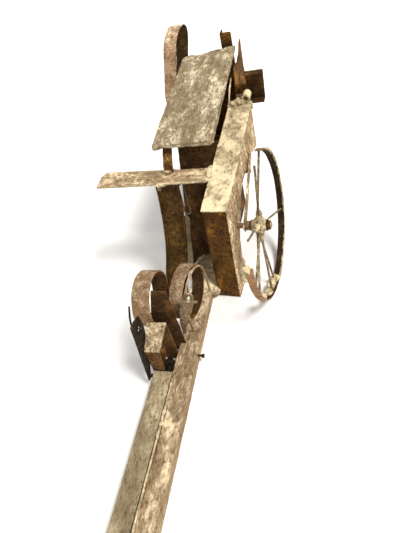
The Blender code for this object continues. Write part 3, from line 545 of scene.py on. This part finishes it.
def crust_piece(name, look, body, seed, lumps=(), beads=(), ground=True):
    """One named piece made of lumps (centre, radii) and beads (path, radius).

    Where ground is set, nothing reaches below the lowest point of the CAD.
    """
    mesh = bmesh.new()
    for index, (centre, radii) in enumerate(lumps):
        blob(mesh, centre, radii, seed + index * 2.3)
    for index, (path, radius) in enumerate(beads):
        bead(mesh, path, radius, seed + index * 1.9)
    layer = mesh.verts.layers.float.new("raised")
    for vertex in mesh.verts:
        vertex[layer] = 0.5 + 0.5 * push(vertex.co, seed, 0.012)
        if ground:
            vertex.co.z = max(vertex.co.z, CAD_LOW.z)
    bmesh.ops.recalc_face_normals(mesh, faces=mesh.faces)
    finish_piece(name, mesh, look, body)


def wheel_point(degrees, radius, along=0.0):
    """A point on the wheel: an angle in its plane, a radius and a distance along the axle."""
    joint = JOINTS["wheel_spin"]
    axle = Vector(joint["axis"]).normalized()
    level = Vector((0, 0, 1)).cross(axle).normalized()
    rise = axle.cross(level)
    angle = math.radians(degrees)
    return (Vector(joint["pos_m"]) + axle * along
            + (level * math.cos(angle) + rise * math.sin(angle)) * radius)


bar_low, bar_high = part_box("cross_bar")
hub_low, hub_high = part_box("wheel_hub")
hub = (hub_low + hub_high) / 2

crust_piece("beam_mound", "roof", "frame", seed=4.0, lumps=[
    ((0.018, 0.005, 0.038), (0.045, 0.072, 0.020)),
    ((-0.012, 0.050, 0.046), (0.022, 0.042, 0.028)),
    ((0.052, -0.040, 0.028), (0.018, 0.028, 0.018)),
    ((0.030, 0.058, 0.050), (0.042, 0.040, 0.034)),
    ((0.010, -0.055, 0.040), (0.022, 0.026, 0.008)),
])
crust_piece("bar_joint_crust", "roof", "frame", seed=7.0, lumps=[
    ((bar_high.x - 0.006, 0.135, bar_high.z + 0.001), (0.018, 0.040, 0.007)),
    ((bar_high.x - 0.020, 0.100, bar_high.z), (0.022, 0.010, 0.006)),
], beads=[
    ([(-0.072, bar_low.y, bar_high.z - 0.002), (0.068, bar_low.y, bar_high.z - 0.002)], 0.0038),
    ([(-0.300, bar_low.y + 0.002, bar_high.z - 0.004),
      (-0.100, bar_low.y, bar_high.z - 0.004)], 0.0022),
])
crust_piece("leg_head_crust", "roof", "frame", seed=9.0, lumps=[
    ((-0.099, 0.096, 0.371), (0.010, 0.009, 0.013)),
    ((-0.085, 0.095, 0.379), (0.016, 0.008, 0.007)),
    ((-0.077, 0.163, bar_high.z + 0.003), (0.018, 0.012, 0.006)),
])
crust_piece("roof_end_crust", "roof", "frame", seed=12.0, lumps=[
    ((0.116, 0.418, 0.468), (0.018, 0.014, 0.012)),
    ((0.146, 0.424, 0.470), (0.020, 0.018, 0.012)),
    ((0.172, 0.420, 0.464), (0.013, 0.016, 0.010)),
    ((0.128, 0.442, 0.462), (0.014, 0.018, 0.018)),
    ((0.150, 0.462, 0.462), (0.012, 0.014, 0.014)),
], beads=[
    ([(0.106, 0.400, 0.462), (0.103, 0.430, 0.478), (0.104, 0.460, 0.505),
      (0.108, 0.495, 0.530)], 0.0030),
    ([(0.172, 0.418, 0.466), (0.186, 0.410, 0.452)], 0.0050),
])
plate = [vertex.co.copy() for vertex in NODES["lid_plate"].data.vertices]
near_left = min(plate, key=lambda place: place.x + place.y)
near_right = max(plate, key=lambda place: place.x - place.y)
far_right = max(plate, key=lambda place: place.x + place.y)
crust_piece("lid_edge_crust", "lid", "lid", seed=14.0, ground=False, lumps=[
    (near_left + Vector((0.010, 0.010, 0.001)), (0.011, 0.010, 0.006)),
    (near_right + Vector((-0.010, 0.006, 0.001)), (0.012, 0.008, 0.005)),
], beads=[
    ([near_right + Vector((-0.002, 0.004, 0.0)), far_right + Vector((-0.002, -0.006, 0.0))],
     0.0028),
    ([near_left + Vector((0.004, 0.001, -0.003)), near_right + Vector((-0.004, 0.001, -0.003))],
     0.0042),
])
# a guess: the area under the bracket is only known to be dark; these black lumps paint the shade
# there
crust_piece("tent_shade_lumps", "black", "frame", seed=14.5, lumps=[
    ((-0.036, -0.352, 0.010), (0.016, 0.026, 0.014)),
    ((-0.052, -0.336, 0.008), (0.020, 0.018, 0.010)),
    ((-0.066, -0.350, 0.006), (0.012, 0.020, 0.008)),
])
crust_piece("rail_ridge", "roof", "frame", seed=14.7, beads=[
    ([(-0.0135, -0.915, 0.0395), (-0.0135, -0.640, 0.0395)], 0.0030),
    ([(-0.0135, -0.650, 0.0395), (-0.0140, -0.420, 0.0395)], 0.0022),
])
crust_piece("rail_seam", "black", "frame", seed=14.9, beads=[
    ([(-0.0182, -0.920, 0.0397), (-0.0182, -0.390, 0.0397)], 0.0012),
    ([(-0.0080, -0.760, 0.0400), (-0.0075, -0.480, 0.0400)], 0.0008),
])
# the lip runs along the near end of the roof
roof = [vertex.co.copy() for vertex in NODES["casing_roof"].data.vertices]
near_y = min(place.y for place in roof)
roof_end = [place for place in roof if place.y < near_y + 0.006]
near_top = max(place.z for place in roof_end)
near_x = [place.x for place in roof_end]
crust_piece("casing_lip", "grey", "frame", seed=14.8, beads=[
    ([(min(near_x) + 0.004, near_y + 0.0045, near_top - 0.0045),
      (max(near_x) - 0.004, near_y + 0.0045, near_top - 0.0045)], 0.0100),
])
crust_piece("hub_crust", "roof", "wheel", seed=15.0, ground=False, lumps=[
    (hub, (0.017, 0.030, 0.031)),
    (wheel_point(75, 0.036, 0.003), (0.010, 0.013, 0.020)),
    (wheel_point(-110, 0.040, 0.003), (0.010, 0.015, 0.018)),
    (wheel_point(-40, 0.034, -0.001), (0.009, 0.012, 0.012)),
    (wheel_point(160, 0.036, 0.002), (0.009, 0.014, 0.010)),
])
crust_piece("rim_crust", "roof", "wheel", seed=18.0, lumps=[
    (wheel_point(-97, 0.222, 0.020), (0.014, 0.016, 0.012)),
    (wheel_point(-106, 0.224, 0.014), (0.014, 0.018, 0.010)),
    (wheel_point(-118, 0.228, 0.016), (0.014, 0.020, 0.007)),
    (wheel_point(-134, 0.230, 0.012), (0.014, 0.018, 0.005)),
    (wheel_point(-188, 0.232, 0.012), (0.013, 0.010, 0.016)),
    (wheel_point(-180, 0.232, 0.004), (0.010, 0.008, 0.014)),
], beads=[
    ([wheel_point(angle, 0.2360, 0.031) for angle in range(-96, 62, 6)], 0.0036),
])

# ---------------------------------------------------------------- floor and light

FLOOR_SIZE = 8.0
FLOOR_DROP = 0.001
FLOOR_WHITE = (0.93, 0.93, 0.93, 1.0)
SKY_COLOUR = (1.0, 0.99, 0.97, 1.0)
SKY_STRENGTH = 0.62


def make_stage():
    data = bpy.data.meshes.new("floor")
    mesh = bmesh.new()
    bmesh.ops.create_grid(mesh, x_segments=1, y_segments=1, size=FLOOR_SIZE)
    mesh.to_mesh(data)
    mesh.free()
    floor = bpy.data.objects.new("floor", data)
    bpy.context.scene.collection.objects.link(floor)
    floor.location.z = min(CAD_LOW.z, 0.0) - FLOOR_DROP
    paint = bpy.data.materials.new("floor_white")
    paint.use_nodes = True
    shader = paint.node_tree.nodes["Principled BSDF"]
    shader.inputs["Base Color"].default_value = FLOOR_WHITE
    shader.inputs["Roughness"].default_value = 1.0
    shader.inputs["Specular IOR Level"].default_value = 0.0
    data.materials.append(paint)

    world = bpy.data.worlds.new("studio")
    world.use_nodes = True
    sky = world.node_tree.nodes["Background"]
    sky.inputs["Color"].default_value = SKY_COLOUR
    sky.inputs["Strength"].default_value = SKY_STRENGTH
    bpy.context.scene.world = world


def make_sun(towards, strength, softness, colour):
    """A sun that stands in a direction and is as wide as softness, in degrees."""
    data = bpy.data.lights.new("sun", "SUN")
    data.energy = strength
    data.angle = math.radians(softness)
    data.color = colour
    item = bpy.data.objects.new("sun", data)
    bpy.context.scene.collection.objects.link(item)
    item.rotation_euler = Vector(towards).to_track_quat("Z", "Y").to_euler()


make_stage()
# the key stands high on the right and the weak fill low on the near left
make_sun((0.62, -0.12, 1.0), 3.3, 20.0, (1.0, 0.96, 0.89))
make_sun((-0.9, -0.75, 0.45), 0.8, 40.0, (1.0, 0.97, 0.92))
bpy.context.scene.view_settings.view_transform = "Standard"
